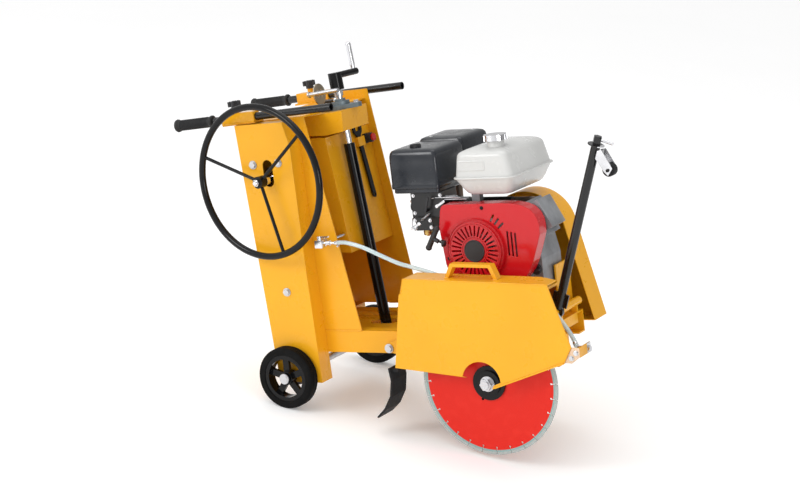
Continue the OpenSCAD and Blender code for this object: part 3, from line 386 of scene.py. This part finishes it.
def piece(name, verts, faces, matrix, body, material, slot):
    """A mesh from points of one of the design frames, riding on a body."""
    mesh = bpy.data.meshes.new(name)
    mesh.from_pydata([matrix @ Vector(v) for v in verts], [], faces)
    tidy = bmesh.new()
    tidy.from_mesh(mesh)
    bmesh.ops.recalc_face_normals(tidy, faces=tidy.faces)
    tidy.to_mesh(mesh)
    tidy.free()
    mesh.shade_smooth()
    mesh.set_sharp_from_angle(angle=SMOOTH_BELOW)
    mesh.materials.append(material)
    obj = bpy.data.objects.new(name, mesh)
    bpy.context.scene.collection.objects.link(obj)
    if body:
        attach(obj, body)
    return obj


def fitting(name, part, material, slot, body="frame"):
    """A piece that is made in the chassis's own millimetres."""
    return piece(name, *part, CHASSIS, body, material, slot)


def lathe(profile, steps=40):
    """Rings turned about local Z from (radius, height) pairs; a radius of 0 closes an end."""
    verts, faces, rings = [], [], []
    for r, z in profile:
        if r < 1e-6:
            rings.append([len(verts)])
            verts.append((0, 0, z))
        else:
            rings.append(list(range(len(verts), len(verts) + steps)))
            verts += [(r * math.cos(a), r * math.sin(a), z) for a in
                      (2 * math.pi * k / steps for k in range(steps))]
    pairs = list(zip(rings, rings[1:]))
    if profile[0][0] > 1e-6 and profile[0] != profile[-1] and profile[-1][0] > 1e-6:
        pairs.append((rings[-1], rings[0]))
    for low, high in pairs:
        for k in range(steps):
            n = (k + 1) % steps
            if len(low) == 1:
                faces.append((low[0], high[n], high[k]))
            elif len(high) == 1:
                faces.append((low[k], low[n], high[0]))
            else:
                faces.append((low[k], low[n], high[n], high[k]))
    return verts, faces


def smooth_path(points, per_span=8):
    """A Catmull-Rom curve through the points."""
    p = [Vector(q) for q in points]
    p = [p[0] * 2 - p[1]] + p + [p[-1] * 2 - p[-2]]
    line = []
    for i in range(1, len(p) - 2):
        for k in range(per_span):
            t = k / per_span
            line.append(0.5 * ((2 * p[i]) + (p[i + 1] - p[i - 1]) * t
                               + (2 * p[i - 1] - 5 * p[i] + 4 * p[i + 1] - p[i + 2]) * t * t
                               + (3 * p[i] - p[i - 1] - 3 * p[i + 1] + p[i + 2]) * t ** 3))
    return line + [p[-2]]


def tube(line, radius, sides=16, closed_ends=True):
    """A round tube swept along a line; radius may be a function of the share of the way along."""
    verts, faces = [], []
    normal = (line[1] - line[0]).orthogonal().normalized()
    for i, centre in enumerate(line):
        ahead_dir = (line[min(i + 1, len(line) - 1)] - line[max(i - 1, 0)]).normalized()
        normal = (normal - ahead_dir * normal.dot(ahead_dir)).normalized()
        side = ahead_dir.cross(normal)
        r = radius(i / (len(line) - 1)) if callable(radius) else radius
        verts += [centre + r * (math.cos(a) * normal + math.sin(a) * side)
                  for a in (2 * math.pi * k / sides for k in range(sides))]
    for i in range(len(line) - 1):
        for k in range(sides):
            n = (k + 1) % sides
            faces.append((i * sides + k, i * sides + n, (i + 1) * sides + n, (i + 1) * sides + k))
    if closed_ends:
        faces.append(tuple(range(sides - 1, -1, -1)))
        faces.append(tuple(range((len(line) - 1) * sides, len(line) * sides)))
    return verts, faces


def together(*parts):
    """Several (verts, faces) joined into one."""
    verts, faces = [], []
    for part_verts, part_faces in parts:
        start = len(verts)
        verts += [Vector(v) for v in part_verts]
        faces += [tuple(i + start for i in f) for f in part_faces]
    return verts, faces


def set_down(part, matrix):
    verts, faces = part
    return [matrix @ Vector(v) for v in verts], faces


def screw_head(r, h, washer=1.35):
    """Hexagon flange screw with a chamfered top, a dished washer under it, and its corners eased."""
    hexagon = []
    for radius, z in ((r * 0.97, 0.8), (r, 1.6), (r, h - 1), (r * 0.86, h), (0, h)):
        hexagon.append((radius, z))
    head = lathe([(0, 0.8)] + hexagon, 6)
    ring = lathe([(r * 0.7, 0), (r * washer, 0), (r * washer, 0.9), (r * washer * 0.97, 1.3),
                  (r * 0.7, 1.3)], 36)
    return together(head, ring)


def weld(points, width=5.0, seed=0):
    """A rippled weld bead along a line."""
    draw = random.Random(seed)
    line = []
    for a, b in zip(points, points[1:]):
        a, b = Vector(a), Vector(b)
        steps = max(2, int((b - a).length / 2.2))
        line += [a.lerp(b, k / steps) for k in range(steps)]
    line.append(Vector(points[-1]))
    swell = [draw.uniform(0.85, 1.0) if k % 2 else draw.uniform(1.0, 1.15) for k in range(len(line))]
    return tube(line, lambda t: width / 2 * swell[round(t * (len(swell) - 1))], 8)


# ---- the water hose, and what clamps it ----

HOSE_ROUTE = [
    (204, -236, 427), (243, -238, 428), (300, -236, 413), (359, -230, 385), (412, -219, 358),
    (455, -205, 341), (500, -195, 325), (560, -195, 308), (640, -196, 298), (720, -196, 292),
    (800, -196, 280), (868, -196, 246), (915, -196, 207), (945, -196, 168), (968, -199, 136),
    (986, -210, 113), (998, -226, 100),
]
HOSE_D = 13
hose_line = smooth_path([at(*p) for p in HOSE_ROUTE])
hose = piece("hose_tube", *tube(hose_line, HOSE_D / 2000, 24), Matrix.Identity(4), None, hose_plastic(),
             "hose")
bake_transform(hose)
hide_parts("water_hose")


def band_clamp(name, centre, direction, body):
    """Worm-drive band round the hose, with its screw housing on top."""
    turn = Vector(direction).to_track_quat("Z", "Y").to_matrix().to_4x4()
    matrix = moved(*centre) @ turn
    r = HOSE_D / 2 + 0.3
    band = lathe([(r, -4.5), (r + 0.9, -4.5), (r + 0.9, 4.5), (r, 4.5)], 40)
    slots = [set_down(lathe([(0, 0), (0.6, 0), (0.6, 0.5), (0, 0.5)], 6),
                      turned(20 * k, "Z") @ moved(r + 0.9, 0, 0) @ FRONT) for k in range(10)]
    worm = set_down(lathe([(0, -7), (2.9, -7), (3.4, -5.5), (3.4, 5.5), (2.9, 7), (0, 7)], 20),
                    turned(-60, "Z") @ moved(r + 3.2, 0, 0) @ FAR)
    return piece(name, *together(band, worm, *slots), CHASSIS @ matrix, body, chrome, "chrome")


band_clamp("hose_clamp_cock", (211, -236.3, 427.4), (39, -2, 1), "frame")
band_clamp("hose_clamp_guard", (990.5, -216, 107.5), (12, -16, -13), "guard")

# ---- rounded engine shells ----


def ring_of(x0, x1, y0, y1, z, corner, per_corner=7):
    """A rounded rectangle of points at one height."""
    ring = []
    for cx, cy, start in ((x1 - corner, y1 - corner, 0), (x0 + corner, y1 - corner, 90),
                          (x0 + corner, y0 + corner, 180), (x1 - corner, y0 + corner, 270)):
        for k in range(per_corner):
            a = math.radians(start + 90 * k / (per_corner - 1))
            ring.append((cx + corner * math.cos(a), cy + corner * math.sin(a), z))
    return ring


def loft(levels):
    """A closed shell through rounded rectangles, from the lowest to the highest."""
    rings = [ring_of(*level) for level in levels]
    n = len(rings[0])
    verts = [p for ring in rings for p in ring]
    faces = [(i * n + k, i * n + (k + 1) % n, (i + 1) * n + (k + 1) % n, (i + 1) * n + k)
             for i in range(len(rings) - 1) for k in range(n)]
    faces += [tuple(range(n - 1, -1, -1)), tuple(range((len(rings) - 1) * n, len(rings) * n))]
    return verts, faces


FUEL_CAP = (700, -34)
tank_levels = [(620, 742, -68, 156, 541, 16), (612, 750, -76, 164, 542.5, 20),
               (604, 756, -84, 172, 548, 22),
               (597, 762, -90, 180, 558, 24), (578, 776, -102, 194, 589, 24),
               (577, 777, -103, 195, 594, 24),
               (571, 784, -109, 201, 594.6, 28), (570, 785, -110, 202, 596, 29),
               (570, 785, -110, 202, 598.4, 29),
               (571, 784, -109, 201, 600, 28), (577, 777, -103, 195, 600.8, 24),
               (578, 775, -102, 194, 607, 22),
               (585, 761, -98.6, 190.4, 662, 22), (586.5, 758.5, -97.4, 189, 668, 22),
               (590, 754, -94, 186, 673, 22),
               (597, 748, -87, 179, 677.5, 22), (608, 738, -76, 168, 681.5, 22),
               (626, 724, -56, 148, 685.5, 22),
               (645, 710, -30, 120, 687.5, 20), (665, 690, 20, 70, 688.2, 10)]
tank_neck = set_down(lathe([(20, 672), (27, 672), (27, 682), (26, 684), (26, 702), (24.5, 704), (21, 704),
                            (20, 702)], 48),
                     moved(*FUEL_CAP, 0))
fuel_shell = fitting("fuel_tank_shell", together(loft(tank_levels), tank_neck), tank_white, "tank_white")
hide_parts("fuel_tank")
panel_turn = moved(640, -100.6, 636) @ turned(-4.2, "X") @ turned(90, "X")
panel = loft([(-47, 47, -16, 16, -2, 4), (-47, 47, -16, 16, 0.2, 4), (-46, 46, -15, 15, 0.9, 4),
              (-43, 43, -12, 12, 0.9, 3), (-42.4, 42.4, -11.4, 11.4, 0.1, 3), (-20, 20, -5, 5, 0.1, 3)])
piece("tank_panel", *panel, CHASSIS @ panel_turn, "frame", tank_white, "tank_white")

air_levels = [(350, 506, -81, 96, 551, 9), (348, 508, -83, 98, 553, 10), (348, 508, -83, 98, 564, 10),
              (344, 512, -89, 103, 566, 10), (343, 513, -90, 104, 569, 11), (343, 513, -90, 104, 580, 11),
              (344, 512, -89, 103, 582, 11), (343.5, 512.5, -89.5, 103.5, 650, 11),
              (344, 512, -89, 103, 670, 12),
              (346, 510, -87, 101, 680, 13), (350, 506, -83, 97, 686, 14), (357, 499, -76, 90, 689, 15),
              (376, 480, -58, 72, 690.5, 15), (410, 446, -20, 34, 691, 12)]
air_shell = fitting("air_cleaner_shell", loft(air_levels), filter_black, "filter_grey")
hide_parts("air_cleaner")
guard_levels = [(349, 507, 104.6, 287, 568, 9), (347, 509, 104.6, 289, 570, 10),
                (347, 509, 104.6, 289, 583, 10),
                (348, 508, 104.6, 288, 585, 10), (348, 508, 104.6, 288, 676, 10),
                (350, 506, 105, 286, 687, 12),
                (355, 501, 109, 281, 694, 13), (365, 491, 119, 271, 697.5, 14),
                (390, 467, 145, 249, 698.5, 12)]
silencer = fitting("silencer_guard", loft(guard_levels), filter_black, "filter_grey")
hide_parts("muffler")
pipe_line = [Vector(p) for p in ((470, 122, 571), (470, 122, 520), (471, 119, 500), (480, 104, 490),
                                 (500, 90, 489),
                                 (530, 88, 489), (640, 88, 489), (735, 88, 489), (762, 84, 489),
                                 (774, 70, 489),
                                 (775, 56, 489), (775, 48, 489))]
pipe_flange = loft([(752, 798, 470, 508, -2, 8), (752, 798, 470, 508, 5, 8), (756, 794, 474, 504, 6, 7)])
fitting("exhaust_pipe",
        together(tube(smooth_path(pipe_line, 5), 13, 24), set_down(pipe_flange, moved(0, 53, 0) @ NEAR)),
        heat_steel, "burnt_steel")
outlet = lathe([(14, 0), (17, 0), (17, 21), (18, 22.5), (18, 24), (16, 25), (14, 24)], 40)
fitting("exhaust_outlet", set_down(outlet, moved(400, 288, 610) @ FAR), heat_steel, "burnt_steel")
louvre = loft([(-17, 17, -2.2, 2.2, 0, 2), (-17, 17, -2.2, 2.2, 1.6, 2), (-15, 15, -1.2, 1.2, 2.2, 1)])
louvres = [set_down(louvre, moved(x, 288, 640 - 9 * row) @ FAR) for row in range(6) for x in (418, 460)]
fitting("guard_louvres_far", together(*louvres), filter_black, "filter_grey")
wing = together(lathe([(0, 0), (15, 0), (15, 2), (9, 4), (8, 9), (0, 10)], 32),
                set_down(loft([(-17, 17, -2.4, 2.4, 3, 2), (-19, 19, -2.6, 2.6, 8, 2),
                               (-15, 15, -2, 2, 14, 2)]),
                         turned(25, "Z")))
fitting("air_cleaner_wing_nut", set_down(wing, moved(415, -32, 686.5)), black_plastic, "black_plastic")
for k, (x, y) in enumerate(((385, 130), (470, 262))):
    fitting("silencer_guard_screw_%d" % k, set_down(screw_head(6, 5), moved(x, y, 694)), zinc, "steel")

# ---- engine fittings ----

CRANK = moved(638, -130, 375)
screws = [set_down(screw_head(4.5, 4), moved(x, -112, z) @ NEAR) for x, z in
          ((537, 348), (586, 276), (745, 277), (668, 506))]
fitting("shroud_screws", together(*screws), black_gloss, "black_paint")
rings = [set_down(lathe([(r - w, 0), (r - w * 0.5, h), (r + w * 0.5, h), (r + w, 0)], 96),
                  CRANK @ moved(0, y, 0) @ NEAR)
         for r, w, h, y in ((95, 2.2, 2.0, 6.4), (85, 2.0, 1.6, 0.4), (42, 1.6, 1.4, 0.4))]
fitting("recoil_rings", together(*rings), shroud_red, "shroud_red")
hub = lathe([(0, -0.5), (34.6, -0.5), (34.6, 1.2), (33.4, 2.2), (31.6, 2.2), (30.6, 1.3), (0, 1.3)], 72)
fitting("recoil_hub_plate", set_down(hub, CRANK @ moved(0, -1.8, 0) @ NEAR), black_plastic, "black_plastic")
guide = lathe([(3.2, -4), (9, -4), (11, -1), (11, 3), (7, 6), (4, 6.5), (3.2, 5)], 32)
rope_hole = (541, -144, 402)
fitting("rope_guide", set_down(guide, moved(*rope_hole) @ turned(-72, "Y")), black_plastic, "black_plastic")


def braided(line, radius):
    """A twisted rope: its section is a rounded trefoil that turns as it goes."""
    verts, faces, sides = [], [], 15
    axis = (line[-1] - line[0]).normalized()
    u = axis.orthogonal().normalized()
    v = axis.cross(u)
    for i, centre in enumerate(line):
        for k in range(sides):
            a = 2 * math.pi * k / sides
            r = radius * (1 + 0.16 * math.cos(3 * a + i * 0.9))
            verts.append(centre + r * (math.cos(a) * u + math.sin(a) * v))
    for i in range(len(line) - 1):
        faces += [(i * sides + k, i * sides + (k + 1) % sides, (i + 1) * sides + (k + 1) % sides,
                   (i + 1) * sides + k)
                  for k in range(sides)]
    faces += [tuple(range(sides - 1, -1, -1)), tuple(range((len(line) - 1) * sides, len(line) * sides))]
    return verts, faces


rope_from, rope_to = Vector((546, -143, 400)), Vector((520, -149, 412))
rope_line = [CHASSIS @ rope_from.lerp(rope_to, k / 60) for k in range(61)]
rope = piece("starter_rope", *braided(rope_line, 0.0026), Matrix.Identity(4), None, soft_rubber, "rubber")
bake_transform(rope)

cap = lathe([(0, 0), (17, 0), (17, 7), (15.5, 9), (0, 9)], 12)
oil_cap = together(cap, loft([(-15, 15, -3, 3, 9, 2.5), (-15, 15, -3, 3, 18, 2.5),
                              (-12, 12, -2, 2, 20, 2)]))
fitting("oil_filler_cap", set_down(oil_cap, moved(806, -50, 300) @ NEAR), black_plastic, "black_plastic")
drain = together(screw_head(9, 9), lathe([(11, -1), (14, -1), (14, 1), (11, 1)], 36))
fitting("oil_drain_plug", set_down(drain, moved(812, -50, 262) @ NEAR), zinc, "steel")


def coil(start, end, radius, wire, turns):
    """A tension spring with its hooks."""
    a, b = Vector(start), Vector(end)
    axis = (b - a).normalized()
    u = axis.orthogonal().normalized()
    v = axis.cross(u)
    steps = turns * 12
    body = [a.lerp(b, 0.14 + 0.72 * k / steps)
            + radius * (math.cos(k * math.pi / 6) * u + math.sin(k * math.pi / 6) * v)
            for k in range(steps + 1)]
    return tube([a, a.lerp(b, 0.07)] + body + [a.lerp(b, 0.93), b], wire, 8)


def rod(*points, radius=1.6):
    return tube([Vector(p) for p in points], radius, 12)


plate = loft([(478, 590, -58, -20, 524, 6), (478, 590, -58, -20, 526.5, 6), (480, 588, -56, -22, 527, 5)])
fitting("control_plate", plate, zinc, "steel")
linkage = together(rod((470, -62, 530), (486, -66, 533), (560, -66, 533), (572, -60, 530)),
                   rod((400, -64, 470), (398, -72, 466), (398, -78, 440), (410, -80, 432), radius=2),
                   coil((490, -48, 531), (552, -40, 533), 3.6, 0.7, 16),
                   coil((430, -76, 462), (466, -76, 486), 3.2, 0.7, 12))
fitting("governor_linkage", linkage, zinc, "steel")
bits = [set_down(screw_head(4.5, 4), moved(*p) @ NEAR) for p in
        ((408, -74, 462), (462, -74, 462), (408, -74, 438), (464, -74, 440), (404, -62, 540),
         (500, -62, 540),
         (500, -62, 484), (404, -62, 484))]
lever = loft([(-6, 6, -6, 6, 0, 5), (-6, 6, -6, 6, 3, 5), (-5, 5, -5, 5, 4, 4)])
arm = loft([(-4, 4, 0, 34, 0.5, 3), (-4, 4, 0, 34, 3, 3), (-3, 3, 1, 33, 3.5, 2.4)])
bits += [set_down(together(lever, arm), moved(422, -74, 452) @ NEAR @ turned(118, "Z")),
         set_down(together(lever, arm), moved(486, -62, 505) @ NEAR @ turned(-60, "Z"))]
bits += [set_down(lathe([(0, 0), (6, 0), (6, 5), (4, 8), (0, 8)], 24),
                  moved(*p) @ turned(-90, "Y")) for p in
         ((395, -50, 462), (395, 6, 500), (395, -50, 520))]
fitting("carburettor_bright_parts", together(*bits), chrome, "chrome")
bowl = lathe([(0, -13), (5, -13), (5, -10), (11, -9), (13.6, -6), (13.6, 0), (14.6, 0.5), (14.6, 2.5),
              (0, 2.5)], 40)
fitting("carburettor_bowl", set_down(bowl, moved(436, -48, 421)), brass, "bronze")

# ---- handles, frame and sheet metal fittings ----

rib_places = [20 + 5.2 * k for k in range(21)]
ribs = [lathe([(16.2, z - 1.7), (17.3, z - 1.0), (17.5, z), (17.3, z + 1.0), (16.2, z + 1.7)],
              48) for z in rib_places]
for side, word in ((-1, "near"), (1, "far")):
    piece(word + "_grip_ribs", *set_down(together(*ribs), FRONT), HANDLES[side], word + "_handle",
          soft_rubber, "rubber")
    lobes = [set_down(lathe([(0, 0), (2.4, 0), (2.0, 1.1), (0, 1.5)], 20),
                      turned(72 * k, "Z") @ moved(15, 0, 56)) for k in range(5)]
    boss = lathe([(0, 56), (8, 56), (7, 57.4), (0, 57.8)], 32)
    piece(word + "_knob_pips", *together(boss, *lobes), HANDLES[side] @ moved(236, 0, 0), word + "_knob",
          black_plastic,
          "black_plastic")
    piece(word + "_sleeve_weld", *weld([(x, side * 18.5, -13.6) for x in (188, 310)], 5, 3 + side),
          HANDLES[side], "frame",
          yellow, "yellow_paint")

welds = [weld([(596, y, 321), (608, y, 320.4)], 4, 12) for y in (-262, -234)]
welds += [weld([(762, y, 314.8), (775, y, 314.3)], 4, 13) for y in (-262, -234)]
fitting("guard_handle_welds", together(*welds), yellow, "yellow_paint", "guard")
welds = [weld([(481, -125.5, 118.5), (819, -125.5, 118.5)], 6, 14),
         weld([(481, 118.5, 133.5), (819, 118.5, 133.5)], 6, 15),
         weld([(240, -195.4, 134), (-60, -195.4, 134)], 5, 16),
         weld([(240, 190, 134), (124, 190, 134)], 5, 17),
         weld([(844, -34.4, 134), (866, -34.4, 134)], 4, 18),
         weld([(844, 86.4, 134), (866, 86.4, 134)], 4, 19)]
fitting("frame_welds", together(*welds), yellow, "yellow_paint")
belt_screws = [set_down(screw_head(6.5, 5.5), moved(x, 215, z) @ FAR) for x, z in
               ((612, 250), (600, 372), (640, 470), (726, 492), (806, 420), (846, 262), (884, 130),
                (744, -40), (666, -40),
                (640, 100))]
fitting("belt_cover_screws", together(*belt_screws), zinc, "steel")
cover_ring = lathe([(88, 0), (92, 3.5), (98, 3.5), (102, 0)], 96)
rib_bar = loft([(-8, 8, -78, 78, 0, 7), (-5, 5, -75, 75, 3.5, 5)])
fitting("belt_cover_pressing",
        together(set_down(cover_ring, moved(697, 214.6, 378) @ FAR),
                 set_down(rib_bar, moved(745, 214.6, 180) @ FAR @ turned(-12, "Z"))), yellow,
        "yellow_paint")
rear_screws = [set_down(screw_head(6.5, 5),
                        moved(-61 - 44 * (z - 133) / 680, y, z) @ turned(-90, "Y") @ turned(-3.7, "X"))
               for z in (200, 470, 740) for y in (-150, 0, 150)]
fitting("column_rear_screws", together(*rear_screws), zinc, "steel")
rolled = tube([Vector(p) for p in ((456, -300.4, 278), (469, -300.4, 325), (956, -300.4, 307),
                                   (1015, -300.4, 118),
                                   (985, -300.4, 66))], 1.6, 10)
fitting("guard_edge_bead", rolled, yellow, "yellow_paint", "guard")

# ---- floor and light ----

FLOOR_HALF = 30.0


def floor_finish():
    """Pale seamless paper with a barely visible tooth."""
    g = Graph("floor_paper")
    g.set(Base_Color=g.mix(g.noise(1.5, 3), (0.93, 0.93, 0.93), (0.90, 0.90, 0.90)),
          Roughness=g.between(g.noise(8, 3), 0.3, 0.7, 0.7, 0.8),
          Normal=g.bump(g.noise(300, 2), 0.05, 0.0003),
          Emission_Color=(1.0, 1.0, 1.0, 1.0), Emission_Strength=0.16)
    return g.material


floor_mesh = bpy.data.meshes.new("floor")
floor_mesh.from_pydata([(x, y, 0) for x, y in ((-FLOOR_HALF, -FLOOR_HALF), (FLOOR_HALF, -FLOOR_HALF),
                                               (FLOOR_HALF, FLOOR_HALF), (-FLOOR_HALF, FLOOR_HALF))],
                       [], [(0, 1, 2, 3)])
floor_mesh.materials.append(floor_finish())
floor = bpy.data.objects.new("floor", floor_mesh)
bpy.context.scene.collection.objects.link(floor)


def area_light(name, place, target, size, power, colour=(1, 1, 1)):
    data = bpy.data.lights.new(name, "AREA")
    data.shape = "DISK"
    data.size = size
    data.energy = power
    data.color = colour
    lamp = bpy.data.objects.new(name, data)
    bpy.context.scene.collection.objects.link(lamp)
    lamp.matrix_world = moved(*place) @ (Vector(place) - Vector(target)).to_track_quat("Z",
            "Y").to_matrix().to_4x4()


area_light("key", (-2.8, -4.4, 3.2), (0, 0, 0.5), 2.4, 95)
area_light("fill", (4.6, -3.0, 1.6), (0.1, 0, 0.5), 2.0, 60)
area_light("top", (-0.4, 0.6, 4.6), (0, 0, 0.4), 3.5, 40)

DOME_SIDE = Vector((-0.62, -0.55, 0.55)).normalized()   # where the soft dome is brightest
DOME_DIM, DOME_BRIGHT = 0.25, 1.15
world = bpy.data.worlds.new("studio")
bpy.context.scene.world = world
world.use_nodes = True
sky = world.node_tree
direction = sky.nodes.new("ShaderNodeTexCoord").outputs["Generated"]
facing = sky.nodes.new("ShaderNodeVectorMath")
facing.operation = "DOT_PRODUCT"
sky.links.new(direction, facing.inputs[0])
facing.inputs[1].default_value = DOME_SIDE
strength = sky.nodes.new("ShaderNodeMapRange")
sky.links.new(facing.outputs["Value"], strength.inputs["Value"])
for key, value in (("From Min", -1.0), ("From Max", 1.0), ("To Min", DOME_DIM), ("To Max", DOME_BRIGHT)):
    strength.inputs[key].default_value = value
backdrop = sky.nodes["Background"]
backdrop.inputs["Color"].default_value = (1.0, 1.0, 1.0, 1.0)
sky.links.new(strength.outputs[0], backdrop.inputs["Strength"])
bpy.context.scene.view_settings.view_transform = "Standard"
